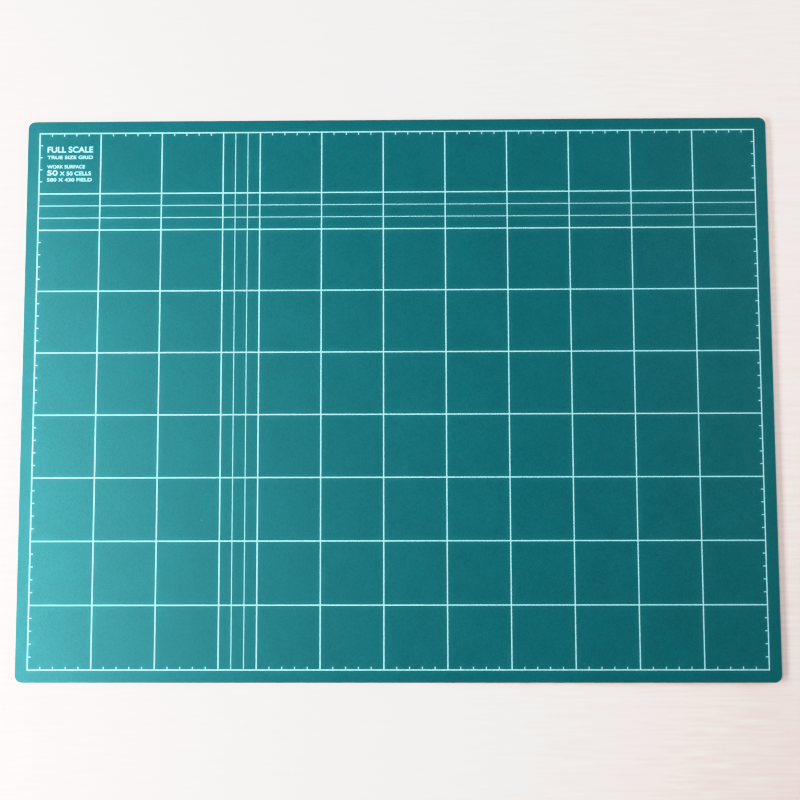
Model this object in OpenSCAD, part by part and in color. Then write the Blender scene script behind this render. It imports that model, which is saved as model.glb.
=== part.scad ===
// Self-healing cutting mat: five laminated PVC plies, with a white ruled print set flush into
// the upper face. Millimetres, +Z up. The origin is the centre of the underside, +X runs along
// the mat and +Y away from the user, so the legend is at the far left.

/* [Ruled grid] */
// Side of one main square
square_side = 50; // [50:10:100]
// Main squares along the mat (X)
squares_x = 11; // [6:1:17]
// Main squares across the mat (Y)
squares_y = 8; // [4:1:11]
// Main squares between the left border and the finely ruled band
squares_left_of_band = 3; // [1:1:5]
// Main squares between the far border and the finely ruled band
squares_beyond_band = 1; // [1:1:3]
// Distance between fine lines, and between ticks
fine_step = 10; // [5:5:10]
// Fine spaces in each band
band_spaces = 3; // [2:1:4]
// Plain margin, from the border line's centre to the mat's edge
margin = 10; // [8:1:15]

/* [Plies] */
// Thickness of each green face ply
face_ply_t = 0.85; // [0.7:0.05:1.2]
// Thickness of each tie ply
tie_ply_t = 0.15; // [0.1:0.05:0.3]
// Thickness of the stiff core
core_t = 1; // [0.6:0.1:1.6]
// Radius of the four corners
corner_radius = 6; // [3:0.5:9]
// Radius of the upper edge, rolled over by the cutting die
upper_edge_radius = 0.4; // [0.2:0.05:0.6]
// Radius of the lower edge
lower_edge_radius = 0.2; // [0.1:0.05:0.5]
// How far the tie plies' cut edge lies behind the face plies' edge
tie_setback = 0.04; // [0.02:0.01:0.1]
// How far the core's cut edge lies behind the face plies' edge
core_setback = 0.08; // [0.05:0.01:0.2]

/* [Print] */
// Width of the border and of the main lines
main_line_w = 0.8; // [0.5:0.05:1.2]
// Width of the fine lines
fine_line_w = 0.45; // [0.3:0.05:0.8]
// Width of a tick
tick_w = 0.6; // [0.3:0.05:1]
// Length of a tick, from the border line's inner side
tick_length = 2; // [1:0.5:4]
// Depth of the ink in the upper face
ink_t = 0.03; // [0.02:0.01:0.06]

/* [Legend] */
// Distance from the border line's centre to the rows' left end
legend_left = 6.4; // [4:0.2:10]
// Height of a large row
large_row_h = 4.3; // [3:0.1:5]
// Height of a small row
small_row_h = 2.8; // [2:0.1:3.5]

/* [Hidden] */
mat_t = 2 * face_ply_t + 2 * tie_ply_t + core_t;
core_z = face_ply_t + tie_ply_t;
upper_tie_z = core_z + core_t;
upper_face_z = upper_tie_z + tie_ply_t;
ink_z = mat_t - ink_t;

band_w = band_spaces * fine_step;
ruled_x = squares_x * square_side + band_w;
ruled_y = squares_y * square_side + band_w;
// Centres of the corner arcs
arc_x = ruled_x / 2 + margin - corner_radius;
arc_y = ruled_y / 2 + margin - corner_radius;

// Lines and ticks by their distance from the left border (x) or from the far border (y)
x_main = main_stops(squares_left_of_band, squares_x);
y_main = main_stops(squares_beyond_band, squares_y);
x_fine = fine_stops(squares_left_of_band);
y_fine = fine_stops(squares_beyond_band);
x_ticks = tick_stops(ruled_x, concat(x_main, x_fine));
y_ticks = tick_stops(ruled_y, concat(y_main, y_fine));
border_inside = main_line_w / 2;

// Each row of the legend: distance of its foot from the far border, its length and its height
legend_rows = [
    [15.8, 37.2, large_row_h],
    [21.2, 37.2, small_row_h],
    [29.0, 30.8, small_row_h],
    [34.8, 35.8, large_row_h],
    [39.8, 36.6, small_row_h],
];

face_green = [0.05, 0.42, 0.44];
tie_green = [0.38, 0.62, 0.6];
core_ivory = [0.86, 0.87, 0.82];
$fn = 64;

function main_stops(before_band, squares) = [
    for (i = [1 : before_band]) i * square_side,
    for (i = [before_band : squares - 1]) i * square_side + band_w
];
function fine_stops(before_band) = [
    for (i = [1 : band_spaces - 1]) before_band * square_side + i * fine_step
];
function tick_stops(length, lines) = [
    for (s = [fine_step : fine_step : length - fine_step]) if (len(search(s, lines)) == 0) s
];

// ---- The print, drawn flat and measured from the border's far left corner, with Y towards
// the user counted as negative

module from_far_left() {
    translate([-ruled_x / 2, ruled_y / 2]) children();
}

module lines_across(stops, width) {
    from_far_left()
        for (x = stops)
            translate([x - width / 2, border_inside - ruled_y])
                square([width, ruled_y - 2 * border_inside]);
}

module lines_along(stops, width) {
    from_far_left()
        for (y = stops)
            translate([border_inside, -y - width / 2])
                square([ruled_x - 2 * border_inside, width]);
}

// Ticks that stand on the far or the near border
module upright_ticks(foot_y) {
    from_far_left()
        for (x = x_ticks)
            translate([x - tick_w / 2, foot_y])
                square([tick_w, tick_length]);
}

// Ticks that lie at the left or the right border
module level_ticks(foot_x) {
    from_far_left()
        for (y = y_ticks)
            translate([foot_x, -y - tick_w / 2])
                square([tick_length, tick_w]);
}

module border_shape() {
    difference() {
        square([ruled_x + main_line_w, ruled_y + main_line_w], center = true);
        square([ruled_x - main_line_w, ruled_y - main_line_w], center = true);
    }
}

module across_shape() {
    lines_across(x_main, main_line_w);
    lines_across(x_fine, fine_line_w);
}

module ticks_shape() {
    upright_ticks(-border_inside - tick_length);
    upright_ticks(border_inside - ruled_y);
    level_ticks(border_inside);
    level_ticks(ruled_x - border_inside - tick_length);
}

// One plain bar for each row of the legend
module legend_shape() {
    from_far_left()
        for (row = legend_rows)
            translate([legend_left, -row[0]])
                square([row[1], row[2]]);
}

module print_shape() {
    border_shape();
    across_shape();
    lines_along(y_main, main_line_w);
    lines_along(y_fine, fine_line_w);
    ticks_shape();
    legend_shape();
}

module ink() {
    color("white")
        translate([0, 0, ink_z])
            linear_extrude(ink_t)
                children();
}

// ---- The plies

// Section through a ply's edge, from a corner arc's centre out to the mat's side, with its top
// corner rounded
module edge_section(thickness, edge_radius) {
    difference() {
        square([corner_radius, thickness]);
        translate([corner_radius - edge_radius, thickness - edge_radius])
            difference() {
                square(2 * edge_radius);
                circle(edge_radius);
            }
    }
}

// A face ply with its rounded edge uppermost. Half of its rim is made at a time.
module face_ply(edge_radius) {
    color(face_green) {
        linear_extrude(face_ply_t) square([2 * arc_x, 2 * arc_y], center = true);
        for (turn = [0, 180])
            rotate([0, 0, turn]) {
                translate([arc_x, 0, 0])
                    rotate([90, 0, 0])
                        linear_extrude(2 * arc_y, center = true)
                            edge_section(face_ply_t, edge_radius);
                translate([0, arc_y, 0])
                    rotate([90, 0, 90])
                        linear_extrude(2 * arc_x, center = true)
                            edge_section(face_ply_t, edge_radius);
                for (corner = [0, 1])
                    translate([arc_x * (1 - 2 * corner), arc_y, 0])
                        rotate([0, 0, 90 * corner])
                            rotate_extrude(angle = 90)
                                edge_section(face_ply_t, edge_radius);
            }
    }
}

// A square-edged inner ply, with its cut edge behind the face plies' edge
module inner_ply(thickness, setback) {
    arc_r = corner_radius - setback;
    linear_extrude(thickness) {
        square([2 * (arc_x + arc_r), 2 * arc_y], center = true);
        square([2 * arc_x, 2 * (arc_y + arc_r)], center = true);
        for (x = [-arc_x, arc_x], y = [-arc_y, arc_y])
            translate([x, y]) circle(arc_r);
    }
}

module base_skin() {
    translate([0, 0, face_ply_t]) mirror([0, 0, 1]) face_ply(lower_edge_radius);
}

module lower_tie_ply() {
    color(tie_green) translate([0, 0, face_ply_t]) inner_ply(tie_ply_t, tie_setback);
}

module core_board() {
    color(core_ivory) translate([0, 0, core_z]) inner_ply(core_t, core_setback);
}

module upper_tie_ply() {
    color(tie_green) translate([0, 0, upper_tie_z]) inner_ply(tie_ply_t, tie_setback);
}

// The upper face ply, with a shallow recess for every part of the print
module cutting_skin() {
    difference() {
        translate([0, 0, upper_face_z]) face_ply(upper_edge_radius);
        translate([0, 0, ink_z]) linear_extrude(2 * ink_t) print_shape();
    }
}

// ---- The ink. It is one film, so the lines along the mat stop at each line across it.

module border_line() { ink() border_shape(); }
module main_lines_across() { ink() lines_across(x_main, main_line_w); }
module fine_lines_across() { ink() lines_across(x_fine, fine_line_w); }
module main_lines_along() {
    ink() difference() {
        lines_along(y_main, main_line_w);
        across_shape();
    }
}
module fine_lines_along() {
    ink() difference() {
        lines_along(y_fine, fine_line_w);
        across_shape();
    }
}
module far_edge_ticks() { ink() upright_ticks(-border_inside - tick_length); }
module near_edge_ticks() { ink() upright_ticks(border_inside - ruled_y); }
module left_edge_ticks() { ink() level_ticks(border_inside); }
module right_edge_ticks() { ink() level_ticks(ruled_x - border_inside - tick_length); }
module scale_legend() { ink() legend_shape(); }

base_skin();
lower_tie_ply();
core_board();
upper_tie_ply();
cutting_skin();
border_line();
main_lines_across();
main_lines_along();
fine_lines_across();
fine_lines_along();
far_edge_ticks();
near_edge_ticks();
left_edge_ticks();
right_edge_ticks();
scale_legend();
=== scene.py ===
"""Looks of the self healing mat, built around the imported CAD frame. Metres, +Z up."""
import math

import bmesh
import bpy
import numpy as np
from mathutils import Matrix, Vector, noise
from mathutils.bvhtree import BVHTree


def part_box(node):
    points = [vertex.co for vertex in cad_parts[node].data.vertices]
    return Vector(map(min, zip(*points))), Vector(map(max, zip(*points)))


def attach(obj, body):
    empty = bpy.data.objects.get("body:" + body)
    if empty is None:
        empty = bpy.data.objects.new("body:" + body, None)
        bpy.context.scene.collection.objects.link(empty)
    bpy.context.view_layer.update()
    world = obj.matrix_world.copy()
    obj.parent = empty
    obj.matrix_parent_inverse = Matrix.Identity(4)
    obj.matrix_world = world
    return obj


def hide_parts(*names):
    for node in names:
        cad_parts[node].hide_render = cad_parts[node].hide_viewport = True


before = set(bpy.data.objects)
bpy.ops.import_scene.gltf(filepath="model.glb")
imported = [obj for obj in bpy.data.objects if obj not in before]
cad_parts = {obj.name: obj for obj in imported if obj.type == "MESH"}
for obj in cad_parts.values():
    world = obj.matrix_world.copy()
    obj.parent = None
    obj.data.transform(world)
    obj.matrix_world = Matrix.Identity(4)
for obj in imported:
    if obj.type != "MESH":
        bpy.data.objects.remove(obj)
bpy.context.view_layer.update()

MM = 0.001

# ---- Camera: nearly overhead, a little to the user's side of the mat's centre

CAMERA_AT = Vector((0.009257, -0.046314, 0.67626))
CAMERA_TARGET = Vector((0.003106, -0.003696, 0.003))
CAMERA_TOP = Vector((0.00266, 1, 0))
CAMERA_LENS_MM = 38.0945
SENSOR_MM = 36


def make_camera():
    data = bpy.data.cameras.new("camera")
    data.lens = CAMERA_LENS_MM
    data.sensor_width = SENSOR_MM
    data.clip_start = 0.01
    camera = bpy.data.objects.new("camera", data)
    back = (CAMERA_AT - CAMERA_TARGET).normalized()
    right = CAMERA_TOP.cross(back).normalized()
    turned = Matrix((right, back.cross(right), back)).transposed()
    camera.matrix_world = Matrix.Translation(CAMERA_AT) @ turned.to_4x4()
    bpy.context.scene.collection.objects.link(camera)
    bpy.context.scene.camera = camera


# ---- Meshes of the plies and of the printed lines

CORNER_RADIUS = 6 * MM
UPPER_EDGE_RADIUS = 0.4 * MM
LOWER_EDGE_RADIUS = 0.2 * MM
CUT_EDGE_RADIUS = 0.02 * MM
TIE_SETBACK = 0.04 * MM
CORE_SETBACK = 0.08 * MM
# How far the ink stands above the upper face
INK_PROUD = 0.01 * MM
# The longest side of a quad on the face plies and on the inner plies
FACE_QUAD = 5 * MM
INNER_QUAD = 7.5 * MM
CORNER_STEPS = 14
EDGE_STEPS = 6
# Where the flat part of a rim has a vertex, as shares of its whole width
RIM_FLATS = (0.3, 0.6, 0.85)
# Edges that turn by more than this are shaded as creases
CREASE_ANGLE = math.radians(40)
# How far the die-cut edge wanders, and over what length
CUT_WANDER = 0.05 * MM
CUT_WAVELENGTH = 30 * MM

# The attribute that says how near a vertex of the upper face is to the print
HAZE = "print_haze"

LINE_NODES = [
    "border_line", "main_lines_across", "main_lines_along", "fine_lines_across", "fine_lines_along",
    "far_edge_ticks", "near_edge_ticks", "left_edge_ticks", "right_edge_ticks",
]


class Solid:
    """A mesh under construction. Vertices that have the same key are one vertex."""

    def __init__(self):
        self.index = {}
        self.points = []
        self.faces = []

    def vertex(self, key, point):
        if key not in self.index:
            self.index[key] = len(self.points)
            self.points.append(point)
        return self.index[key]

    def face(self, *corners):
        distinct = list(dict.fromkeys(corners))
        if len(distinct) > 2:
            self.faces.append(distinct)

    def finish(self, name, material, slot, *replaced):
        mesh = bpy.data.meshes.new(name)
        mesh.from_pydata(self.points, [], self.faces)
        mesh.shade_smooth()
        mesh.set_sharp_from_angle(angle=CREASE_ANGLE)
        piece = bpy.data.objects.new(name, mesh)
        bpy.context.scene.collection.objects.link(piece)
        return dress(piece, material, slot, *replaced)


def dress(piece, material, slot, *replaced):
    """Gives a piece its material, and lets it ride on the mat in place of some CAD nodes."""
    piece.data.materials.clear()
    piece.data.materials.append(material)
    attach(piece, "root")
    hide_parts(*replaced)
    return piece


def levels(nodes, axis):
    """Every distinct vertex coordinate of some CAD nodes along an axis, to a micrometre."""
    return {round(v.co[axis], 6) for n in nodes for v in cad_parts[n].data.vertices}


def cap_ends(node, axis, setback=0.0):
    """Where a ply's flat cap ends along an axis: the centres of its corner arcs."""
    low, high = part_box(node)
    reach = CORNER_RADIUS - setback
    return {round(low[axis] + reach, 6), round(high[axis] - reach, 6)}


def stops(edges, longest):
    """The edges in order, with each span between two of them cut into equal steps up to longest."""
    edges = sorted(edges)
    found = [edges[0]]
    for low, high in zip(edges, edges[1:]):
        steps = max(1, math.ceil((high - low) / longest - 0.01))
        found += [low + (high - low) * (k + 1) / steps for k in range(steps)]
    return found


def cells_in(node, xs, ys):
    """Marks the cells of a grid that lie in a CAD node, seen from above."""
    inside = np.zeros((len(xs) - 1, len(ys) - 1), bool)
    low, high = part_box(node)
    tree = BVHTree.FromObject(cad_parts[node], bpy.context.evaluated_depsgraph_get())
    for i in range(len(xs) - 1):
        x = (xs[i] + xs[i + 1]) / 2
        if not low.x < x < high.x:
            continue
        for j in range(len(ys) - 1):
            y = (ys[j] + ys[j + 1]) / 2
            if low.y < y < high.y:
                above = Vector((x, y, high.z + MM))
                inside[i, j] = tree.ray_cast(above, Vector((0, 0, -1)))[0] is not None
    return inside


def add_cap(solid, xs, ys, z, layer, facing_up, cells=None):
    """A flat grid of quads over the marked cells, or over all of them."""
    for i in range(len(xs) - 1):
        for j in range(len(ys) - 1):
            if cells is None or cells[i, j]:
                ring = [(i, j), (i + 1, j), (i + 1, j + 1), (i, j + 1)]
                corners = [solid.vertex((layer, a, b), (xs[a], ys[b], z)) for a, b in ring]
                solid.face(*(corners if facing_up else reversed(corners)))


def add_walls(solid, xs, ys, cells, upper, lower, facing_out):
    """Walls round the marked cells, between the layers (name, height) upper and lower."""
    padded = np.pad(cells, 1)
    for i, j in zip(*np.nonzero(cells)):
        sides = [
            (padded[i + 1, j], (i, j), (i + 1, j)),
            (padded[i + 2, j + 1], (i + 1, j), (i + 1, j + 1)),
            (padded[i + 1, j + 2], (i + 1, j + 1), (i, j + 1)),
            (padded[i, j + 1], (i, j + 1), (i, j)),
        ]
        for marked, start, end in sides:
            if not marked:
                ring = [(lower, start), (lower, end), (upper, end), (upper, start)]
                corners = [
                    solid.vertex((layer, *at), (xs[at[0]], ys[at[1]], z)) for (layer, z), at in ring
                ]
                solid.face(*(corners if facing_out else reversed(corners)))


def cut_wander(x, y):
    """How far the die-cut edge lies inside its true line near a point."""
    return CUT_WANDER * (0.5 + 0.5 * noise.noise(Vector((x, y, 0)) / CUT_WAVELENGTH))


def arc(out, z, radius, start, end, steps):
    """Points round an edge, as (distance out, height), from one angle to another."""
    angles = [math.radians(start + (end - start) * k / steps) for k in range(steps + 1)]
    return [(out + radius * math.cos(a), z + radius * math.sin(a)) for a in angles]


def edge_section(low, high, reach, upper_radius, lower_radius):
    """A ply's outside as (distance out from the caps, height), from the top to the underside."""
    flats = [share * reach for share in RIM_FLATS]
    section = [(out, high) for out in flats]
    section += arc(reach - upper_radius, high - upper_radius, upper_radius, 90, 0, EDGE_STEPS)
    section += arc(reach - lower_radius, low + lower_radius, lower_radius, 0, -90, EDGE_STEPS)
    return section + [(out, low) for out in reversed(flats)]


def rim_stations(xs, ys):
    """Walks round a cap anticlockwise: its vertex and the outward angle at each station."""
    last_i, last_j = len(xs) - 1, len(ys) - 1
    sides = [
        (-90, [(i, 0) for i in range(last_i + 1)]),
        (0, [(last_i, j) for j in range(last_j + 1)]),
        (90, [(i, last_j) for i in range(last_i, -1, -1)]),
        (180, [(0, j) for j in range(last_j, -1, -1)]),
    ]
    stations = []
    for angle, side in sides:
        stations += [(*vertex, angle) for vertex in side]
        stations += [(*side[-1], angle + 90 * k / CORNER_STEPS) for k in range(1, CORNER_STEPS)]
    return stations


def add_rim(solid, xs, ys, section):
    """A ply's rim, from the top cap's boundary round the edge to the bottom cap's."""
    columns = []
    for i, j, angle in rim_stations(xs, ys):
        out_x, out_y = math.cos(math.radians(angle)), math.sin(math.radians(angle))
        column = [solid.index["top", i, j]]
        for k, (distance, z) in enumerate(section):
            x, y = xs[i] + out_x * distance, ys[j] + out_y * distance
            inward = cut_wander(x, y) * distance / CORNER_RADIUS
            point = (x - out_x * inward, y - out_y * inward, z)
            column.append(solid.vertex(("rim", i, j, angle, k), point))
        columns.append(column + [solid.index["bottom", i, j]])
    for near, far in zip(columns, columns[1:] + columns[:1]):
        for k in range(len(near) - 1):
            solid.face(near[k], near[k + 1], far[k + 1], far[k])


def make_ply(node, material, slot, quad, setback, upper_radius, lower_radius):
    low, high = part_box(node)
    xs = stops(cap_ends(node, 0, setback), quad)
    ys = stops(cap_ends(node, 1, setback), quad)
    solid = Solid()
    add_cap(solid, xs, ys, high.z, "top", True)
    add_cap(solid, xs, ys, low.z, "bottom", False)
    reach = CORNER_RADIUS - setback
    add_rim(solid, xs, ys, edge_section(low.z, high.z, reach, upper_radius, lower_radius))
    return solid.finish(node + "_sheet", material, slot, node)


def make_printed_skin(skin_material, ink_material):
    """The upper face ply and the lines of ink in its recesses, all cut from one grid."""
    low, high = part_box("cutting_skin")
    ink_low, ink_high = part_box("border_line")
    xs = stops(levels(LINE_NODES, 0) | cap_ends("cutting_skin", 0), FACE_QUAD)
    ys = stops(levels(LINE_NODES, 1) | cap_ends("cutting_skin", 1), FACE_QUAD)

    inked = np.zeros((len(xs) - 1, len(ys) - 1), bool)
    for node in LINE_NODES:
        cells = cells_in(node, xs, ys)
        inked |= cells
        ink = Solid()
        add_cap(ink, xs, ys, ink_high.z, "top", True, cells)
        add_cap(ink, xs, ys, ink_low.z, "bottom", False, cells)
        add_walls(ink, xs, ys, cells, ("top", ink_high.z), ("bottom", ink_low.z), True)
        ink.finish(node + "_ink", ink_material, "ink", node)

    face_z = high.z - INK_PROUD
    skin = Solid()
    add_cap(skin, xs, ys, face_z, "top", True, ~inked)
    add_cap(skin, xs, ys, ink_low.z, "recess", True, inked)
    add_walls(skin, xs, ys, inked, ("top", face_z), ("recess", ink_low.z), False)
    add_cap(skin, xs, ys, low.z, "bottom", False)
    add_rim(
        skin, xs, ys,
        edge_section(low.z, face_z, CORNER_RADIUS, UPPER_EDGE_RADIUS, CUT_EDGE_RADIUS),
    )
    sheet = skin.finish("cutting_skin_sheet", skin_material, "face_pvc", "cutting_skin")

    haze = sheet.data.attributes.new(HAZE, "FLOAT", "POINT")
    for layer, i, j in [key for key in skin.index if key[0] == "recess"]:
        for key in (("top", i, j), (layer, i, j)):
            if key in skin.index:
                haze.data[skin.index[key]].value = 1


# ---- Legend: generic lettering in place of the CAD model's bars

# The rows from the top, each as (text, its height as a share of the bar's, its share of the length)
LEGEND = [
    [("FULL SCALE", 1.14, 1)],
    [("TRUE SIZE GRID", 1, 1)],
    [("WORK SURFACE", 1, 1)],
    [("50", 1, 0.24), ("X 50 CELLS", 0.76, 0.71)],
    [("580 X 430 FIELD", 1, 1)],
]
LETTER_WEIGHT = 0.015
LETTER_SINK = 0.02 * MM


def legend_bars():
    """The boxes of the legend's bars in the CAD model, from the top row down."""
    bm = bmesh.new()
    bm.from_mesh(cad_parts["scale_legend"].data)
    bmesh.ops.remove_doubles(bm, verts=bm.verts, dist=1e-6)
    waiting = set(bm.verts)
    bars = []
    while waiting:
        island, front = set(), [waiting.pop()]
        while front:
            vert = front.pop()
            island.add(vert)
            reached = {e.other_vert(vert) for e in vert.link_edges} & waiting
            waiting -= reached
            front += reached
        corners = np.array([v.co for v in island])
        bars.append((corners.min(0), corners.max(0)))
    bm.free()
    return sorted(bars, key=lambda bar: -bar[0][1])


def letter_mesh(text):
    """A closed mesh of a text, flat and of any size."""
    curve = bpy.data.curves.new("lettering", "FONT")
    curve.body = text
    curve.offset = LETTER_WEIGHT
    curve.extrude = 0.1
    curve.resolution_u = 6
    source = bpy.data.objects.new("lettering", curve)
    bpy.context.scene.collection.objects.link(source)
    evaluated = source.evaluated_get(bpy.context.evaluated_depsgraph_get())
    mesh = bpy.data.meshes.new_from_object(evaluated)
    bpy.data.objects.remove(source)
    bpy.data.curves.remove(curve)
    return mesh


def make_legend(material):
    ink_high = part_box("scale_legend")[1]
    bm = bmesh.new()
    for (low, high), words in zip(legend_bars(), LEGEND):
        length, height = (high - low)[:2]
        used = sum(share for _, _, share in words)
        gap = length * (1 - used) / max(1, len(words) - 1)
        left = low[0]
        for text, tall, share in words:
            mesh = letter_mesh(text)
            corners = np.array([v.co for v in mesh.vertices])
            first, last = corners.min(0), corners.max(0)
            wide = length * share
            scale = (wide / (last[0] - first[0]), height * tall / (last[1] - first[1]))
            for vert in mesh.vertices:
                x = left + (vert.co.x - first[0]) * scale[0]
                y = low[1] + (vert.co.y - first[1]) * scale[1]
                vert.co = (x, y, ink_high.z if vert.co.z > 0 else ink_high.z - LETTER_SINK)
            bm.from_mesh(mesh)
            bpy.data.meshes.remove(mesh)
            left += wide + gap
    bmesh.ops.remove_doubles(bm, verts=bm.verts, dist=1e-7)
    bmesh.ops.recalc_face_normals(bm, faces=bm.faces)
    mesh = bpy.data.meshes.new("scale_legend_ink")
    bm.to_mesh(mesh)
    bm.free()
    piece = bpy.data.objects.new("scale_legend_ink", mesh)
    bpy.context.scene.collection.objects.link(piece)
    return dress(piece, material, "ink", "scale_legend")


# ---- Materials

class Shader:
    """A new material whose nodes are added and linked in one call each."""

    def __init__(self, name):
        self.material = bpy.data.materials.new(name)
        self.material.use_nodes = True
        self.nodes = self.material.node_tree.nodes
        self.links = self.material.node_tree.links
        self.nodes.clear()
        coordinates = self.nodes.new("ShaderNodeTexCoord").outputs["Object"]
        millimetres = self.add("ShaderNodeMapping", Vector=coordinates, Scale=(1 / MM,) * 3)
        self.millimetres = millimetres.outputs["Vector"]

    def add(self, kind, settings=None, **inputs):
        """A new node. An input's underscores stand for spaces in its name."""
        node = self.nodes.new(kind)
        for key, value in (settings or {}).items():
            setattr(node, key, value)
        for key, value in inputs.items():
            socket = node.inputs[key.replace("_", " ")]
            if isinstance(value, bpy.types.NodeSocket):
                self.links.new(value, socket)
            else:
                socket.default_value = value
        return node

    def noise(self, size_mm, detail, vector=None):
        """Smooth noise from 0 to 1, with features of about a size."""
        vector = self.millimetres if vector is None else vector
        return self.add(
            "ShaderNodeTexNoise", Vector=vector, Scale=1 / size_mm, Detail=detail
        ).outputs["Fac"]

    def stretch(self, scale):
        """The coordinates in millimetres, scaled along each axis."""
        return self.add("ShaderNodeMapping", Vector=self.millimetres, Scale=scale).outputs["Vector"]

    def math(self, operation, a, b):
        """One sum, product or other operation on two values."""
        node = self.nodes.new("ShaderNodeMath")
        node.operation = operation
        for socket, value in zip(node.inputs, (a, b)):
            if isinstance(value, bpy.types.NodeSocket):
                self.links.new(value, socket)
            else:
                socket.default_value = value
        return node.outputs[0]

    def blend(self, a, b, share):
        """The sum of a share of a and the rest of b."""
        return self.math(
            "ADD", self.math("MULTIPLY", b, 1 - share), self.math("MULTIPLY", a, share)
        )

    def remap(self, value, low, high, from_low=0.3, from_high=0.7):
        node = self.add("ShaderNodeMapRange", Value=value)
        for key, number in zip(
            ("From Min", "From Max", "To Min", "To Max"), (from_low, from_high, low, high)
        ):
            node.inputs[key].default_value = number
        return node.outputs["Result"]

    def mix(self, factor, a, b):
        """A colour between a and b."""
        node = self.nodes.new("ShaderNodeMix")
        node.data_type = "RGBA"
        for key, value in ((0, factor), (6, a), (7, b)):
            if isinstance(value, bpy.types.NodeSocket):
                self.links.new(value, node.inputs[key])
            else:
                node.inputs[key].default_value = value
        return node.outputs[2]

    def bump(self, height, distance_mm):
        node = self.add("ShaderNodeBump", Height=height, Strength=1, Distance=distance_mm * MM)
        return node.outputs["Normal"]

    def surface(self, **inputs):
        principled = self.add("ShaderNodeBsdfPrincipled", **inputs)
        output = self.nodes.new("ShaderNodeOutputMaterial")
        self.links.new(principled.outputs["BSDF"], output.inputs["Surface"])
        return self.material


def rgba(red, green, blue):
    return (red, green, blue, 1)


# Sizes in millimetres: a pebble of the grain, the finer grain over it, the clouds of uneven green,
# the breaks in the haze, and the spacing of the specks of dust
PEBBLE_SIZE = 0.95
FINE_GRAIN = 0.25
CLOUD_SIZE = 35
HAZE_SIZE = 20
SPECK_SPACING = 14
# Height of the finer grain as a share of a pebble's
FINE_GRAIN_SHARE = 0.35
# Share of the clouds in the unevenness of the green; the rest is painted shade from the pebbles'
# creases to their tops
CLOUD_SHARE = 0.25
# Inner and outer radius of a speck as shares of the spacing, and the chance value a speck needs
SPECK_RADII = (0.010, 0.018)
SPECK_CHANCE = (0.62, 0.64)
# The dark green lies in the pebbles' creases and in dark clouds, the light green on the pebbles'
# tops and in light clouds: painted shade beside real uneven tone
PVC_DARK = rgba(0.0001, 0.091, 0.1065)
PVC_LIGHT = rgba(0.0003, 0.135, 0.158)
PVC_GLOSS = rgba(0.33, 1, 1)
SPECK = rgba(0.25, 0.5, 0.5)
PVC_HAZED = rgba(0.012, 0.16, 0.175)
INK = rgba(0.45, 0.92, 1)
INK_THIN = rgba(0.36, 0.84, 0.96)
CORE = rgba(0.66, 0.67, 0.6)
CORE_DARK = rgba(0.5, 0.52, 0.46)
TIE = rgba(0.1, 0.3, 0.29)
TIE_DARK = rgba(0.06, 0.22, 0.22)


def pebbles(shader):
    """The calendered grain of the face plies, from 0 in the creases to 1 on top of a pebble."""
    distance = shader.add(
        "ShaderNodeTexVoronoi", {"feature": "SMOOTH_F1"},
        Vector=shader.millimetres, Scale=1 / PEBBLE_SIZE, Smoothness=0.5,
    ).outputs["Distance"]
    return shader.remap(distance, 1, 0, 0.1, 0.7)


def pebble_bump(shader, tops, distance_mm):
    """Relief of the pebbles, with a finer grain over them."""
    fine = shader.noise(FINE_GRAIN, 2)
    height = shader.math("ADD", tops, shader.math("MULTIPLY", fine, FINE_GRAIN_SHARE))
    return shader.bump(height, distance_mm)


def pvc_material():
    shader = Shader("face_pvc")
    tops = pebbles(shader)
    clouds = shader.remap(shader.noise(CLOUD_SIZE, 3), 0, 1)
    # Painted shade: the green is darker in the creases between the pebbles and lighter on their
    # tops, blended with the clouds' uneven tone
    mottle_and_crease_shade = shader.blend(clouds, tops, CLOUD_SHARE)
    green = shader.mix(mottle_and_crease_shade, PVC_DARK, PVC_LIGHT)
    haze = shader.add("ShaderNodeAttribute", {"attribute_name": HAZE}).outputs["Fac"]
    haze = shader.math("MULTIPLY", haze, shader.remap(shader.noise(HAZE_SIZE, 2), 0.1, 0.4))
    green = shader.mix(haze, green, PVC_HAZED)
    cells = shader.add(
        "ShaderNodeTexVoronoi", Vector=shader.millimetres, Scale=1 / SPECK_SPACING
    )
    near = shader.remap(cells.outputs["Distance"], 1, 0, *SPECK_RADII)
    chosen = shader.remap(cells.outputs["Color"], 0, 1, *SPECK_CHANCE)
    colour = shader.mix(shader.math("MULTIPLY", near, chosen), green, SPECK)
    return shader.surface(
        Base_Color=colour,
        Roughness=shader.remap(shader.noise(8, 3), 0.36, 0.44),
        Specular_IOR_Level=0.52,
        Specular_Tint=PVC_GLOSS,
        Normal=pebble_bump(shader, tops, 0.045),
    )


def ink_material():
    shader = Shader("ink")
    cover = shader.blend(shader.noise(12, 2), shader.noise(0.9, 3), 0.4)
    return shader.surface(
        Base_Color=shader.mix(shader.remap(cover, 0, 1), INK_THIN, INK),
        Roughness=shader.remap(shader.noise(2, 2), 0.5, 0.62),
        Specular_IOR_Level=0.2,
        Normal=pebble_bump(shader, pebbles(shader), 0.02),
    )


def cut_edge_material(name, light, dark):
    """A ply whose die-cut edge shows fine drag lines from top to bottom."""
    shader = Shader(name)
    drag = shader.noise(0.35, 3, shader.stretch((1, 1, 0.12)))
    patches = shader.noise(9, 2)
    tone = shader.blend(patches, drag, 0.4)
    return shader.surface(
        Base_Color=shader.mix(shader.remap(tone, 0, 1), dark, light),
        Roughness=shader.remap(drag, 0.5, 0.7),
        Specular_IOR_Level=0.4,
        Normal=shader.bump(drag, 0.03),
    )


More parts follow.
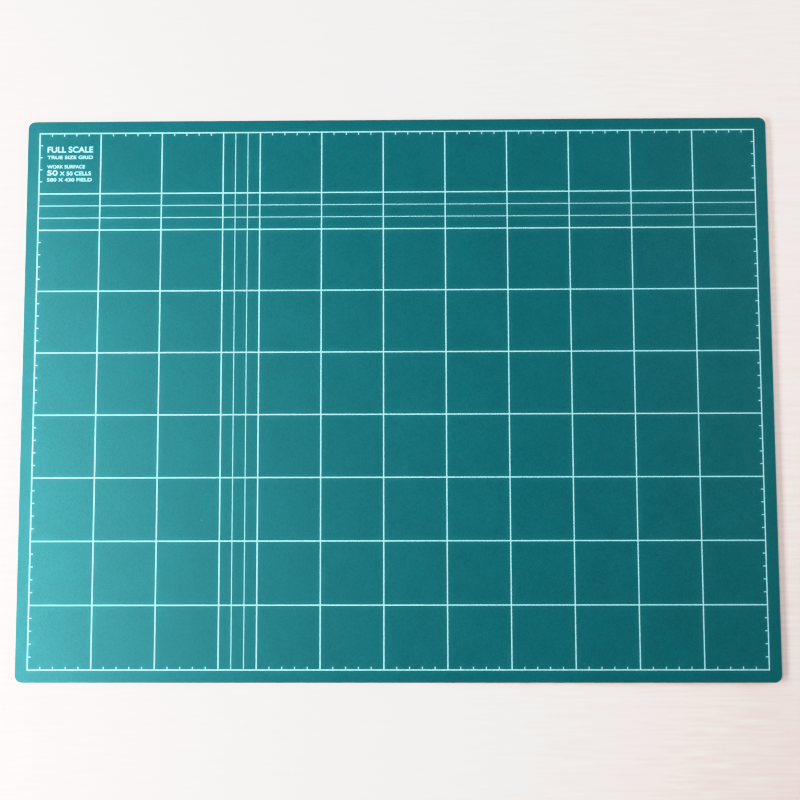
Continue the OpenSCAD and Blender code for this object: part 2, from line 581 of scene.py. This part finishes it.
def floor_material():
    shader = Shader("floor")
    grain = shader.noise(3, 3, shader.stretch((0.08, 1, 1)))
    return shader.surface(
        Base_Color=shader.mix(
            shader.remap(grain, 0, 1), rgba(0.91, 0.76, 0.73), rgba(0.97, 0.85, 0.81)
        ),
        Roughness=shader.remap(grain, 0.7, 0.8),
        Specular_IOR_Level=0.1,
    )


# ---- Studio

FLOOR_RADIUS = 2.0
FLOOR_SIDES = 96
# How far the floor lies below the mat's underside
FLOOR_GAP = 0.02 * MM
# The brightest light that the picture holds, and how bright lesser highlights are shown
WHITE_POINT = 2.4
SHOULDER = [(0.8, 0.8), (0.95, 0.865), (1.2, 0.885)]


def make_floor():
    angles = [math.tau * k / FLOOR_SIDES for k in range(FLOOR_SIDES)]
    rim = [(FLOOR_RADIUS * math.cos(a), FLOOR_RADIUS * math.sin(a), 0) for a in angles]
    mesh = bpy.data.meshes.new("floor")
    mesh.from_pydata(rim, [], [range(FLOOR_SIDES)])
    floor = bpy.data.objects.new("floor", mesh)
    floor.location.z = -FLOOR_GAP
    floor.data.materials.append(floor_material())
    bpy.context.scene.collection.objects.link(floor)


def make_light(name, at, size, power, target=(0, 0, 0), spread_degrees=180):
    data = bpy.data.lights.new(name, "AREA")
    data.shape = "RECTANGLE"
    data.size, data.size_y = size
    data.energy = power
    data.spread = math.radians(spread_degrees)
    light = bpy.data.objects.new(name, data)
    light.location = at
    aim = Vector(target) - Vector(at)
    light.rotation_euler = aim.to_track_quat("-Z", "Y").to_euler()
    light.visible_camera = False
    bpy.context.scene.collection.objects.link(light)


def make_world(strength, seen_strength):
    """An even light from all round. The backdrop itself is seen brighter than it lights."""
    world = bpy.data.worlds.new("studio")
    world.use_nodes = True
    nodes, links = world.node_tree.nodes, world.node_tree.links
    background = nodes["Background"]
    background.inputs["Color"].default_value = rgba(0.96, 0.94, 0.95)
    seen = nodes.new("ShaderNodeMapRange")
    seen.inputs["To Min"].default_value = strength
    seen.inputs["To Max"].default_value = seen_strength
    links.new(nodes.new("ShaderNodeLightPath").outputs["Is Camera Ray"], seen.inputs["Value"])
    links.new(seen.outputs["Result"], background.inputs["Strength"])
    bpy.context.scene.world = world


def set_exposure_curve():
    """A straight response that bends over in the highlights, as a camera's does."""
    view = bpy.context.scene.view_settings
    view.view_transform = "Standard"
    view.look = "None"
    view.use_curve_mapping = True
    mapping = view.curve_mapping
    mapping.clip_max_x = WHITE_POINT
    curve = mapping.curves[3]
    curve.points[1].location = (WHITE_POINT, 1)
    for light, shown in SHOULDER:
        curve.points.new(light, shown)
    for point in curve.points:
        point.handle_type = "VECTOR"
    mapping.update()


def make_studio():
    make_floor()
    make_light("low_window", (-0.62, -0.12, 0.39), (1.2, 0.22), 10.5)
    make_light("high_window", (-0.93, -0.18, 1.79), (1.4, 0.7), 12)
    make_light("far_wall", (-0.33, 1.31, 0.5), (1.6, 1.0), 2.9)
    make_light("right_wall", (1.85, 0.54, 0.53), (1.2, 1.0), 7.5, (0.1, 0.5, 0), 70)
    make_world(0.2, 0.6)
    set_exposure_curve()


make_camera()
face_pvc = pvc_material()
white_ink = ink_material()
make_printed_skin(face_pvc, white_ink)
make_legend(white_ink)
make_ply("base_skin", face_pvc, "face_pvc", FACE_QUAD, 0, CUT_EDGE_RADIUS, LOWER_EDGE_RADIUS)
tie_pvc = cut_edge_material("tie_pvc", TIE, TIE_DARK)
for tie in ("lower_tie_ply", "upper_tie_ply"):
    make_ply(tie, tie_pvc, "tie_pvc", INNER_QUAD, TIE_SETBACK, CUT_EDGE_RADIUS, CUT_EDGE_RADIUS)
core_pvc = cut_edge_material("core_pvc", CORE, CORE_DARK)
make_ply(
    "core_board", core_pvc, "core_pvc", INNER_QUAD, CORE_SETBACK, CUT_EDGE_RADIUS, CUT_EDGE_RADIUS
)
make_studio()
